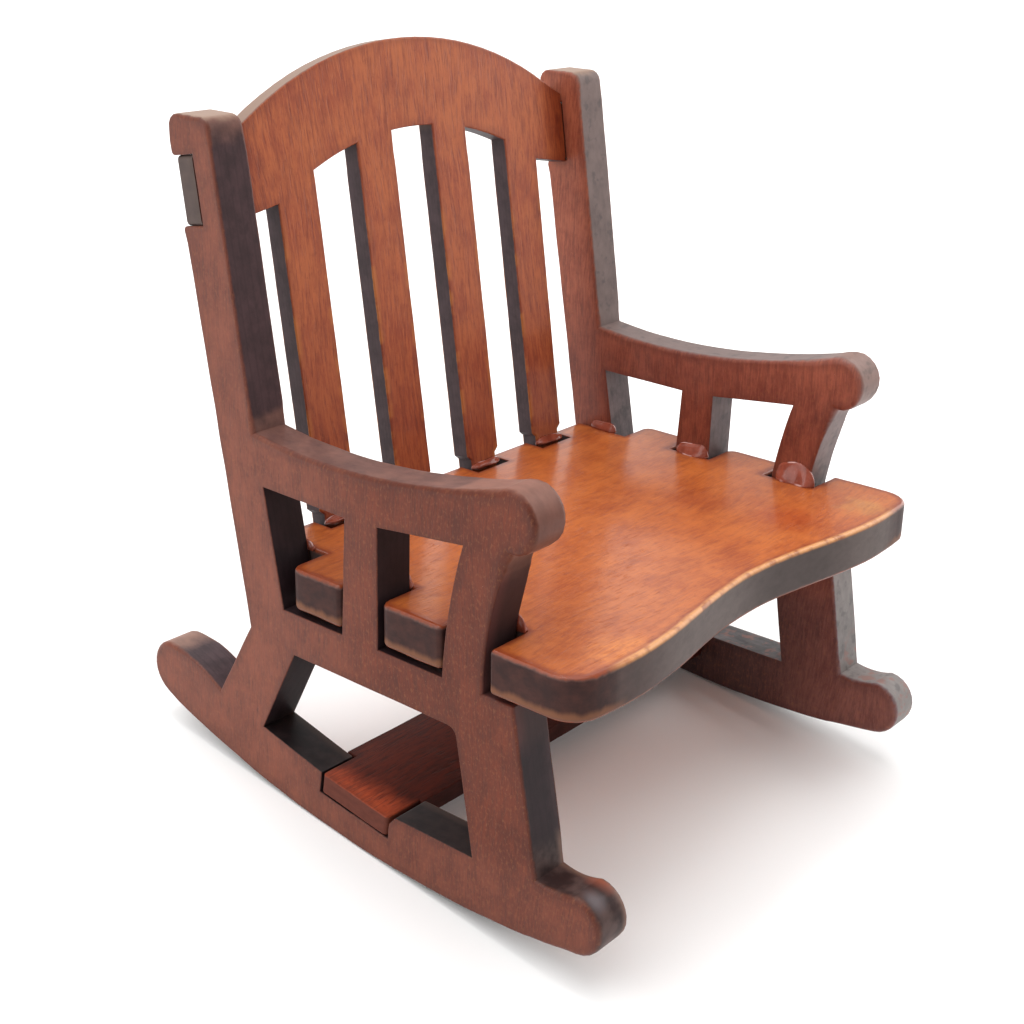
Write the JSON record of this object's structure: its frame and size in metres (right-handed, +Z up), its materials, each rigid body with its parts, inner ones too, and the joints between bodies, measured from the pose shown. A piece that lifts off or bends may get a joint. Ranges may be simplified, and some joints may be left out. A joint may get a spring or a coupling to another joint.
{
  "type": "miniature rocking chair",
  "caption": "Dolls' house rocking chair of slotted plywood plates: arched slatted back, wave-fronted seat, scrolled arms and rocker sides.",
  "frame": {"origin": "on the floor under the middle of the chair's bounding box, at the height of the rockers' lowest line", "axes": "+Z up, +Y from the seat's front towards the back plate, +X to the sitter's left, with the chair at rest on its rockers"},
  "size_m": [0.0404, 0.0428, 0.0492],
  "materials": {
    "frame_wood": "stained and lacquered plywood, satin",
    "panel_wood": "stained and lacquered plywood, half gloss",
    "glue": "set clear glue over stained wood, gloss"
  },
  "bodies": {
    "root": {"side_frame_right": "frame_wood", "side_frame_left": "frame_wood", "seat_plate": "panel_wood", "back_plate": "panel_wood", "stretcher": "panel_wood", "glue_rear_post_right": "glue", "glue_spindle_right": "glue", "glue_front_post_right": "glue", "glue_inner_slat_right": "glue", "glue_outer_slat_right": "glue", "glue_rear_post_left": "glue", "glue_spindle_left": "glue", "glue_front_post_left": "glue", "glue_inner_slat_left": "glue", "glue_outer_slat_left": "glue"}
  },
  "joints": []
}
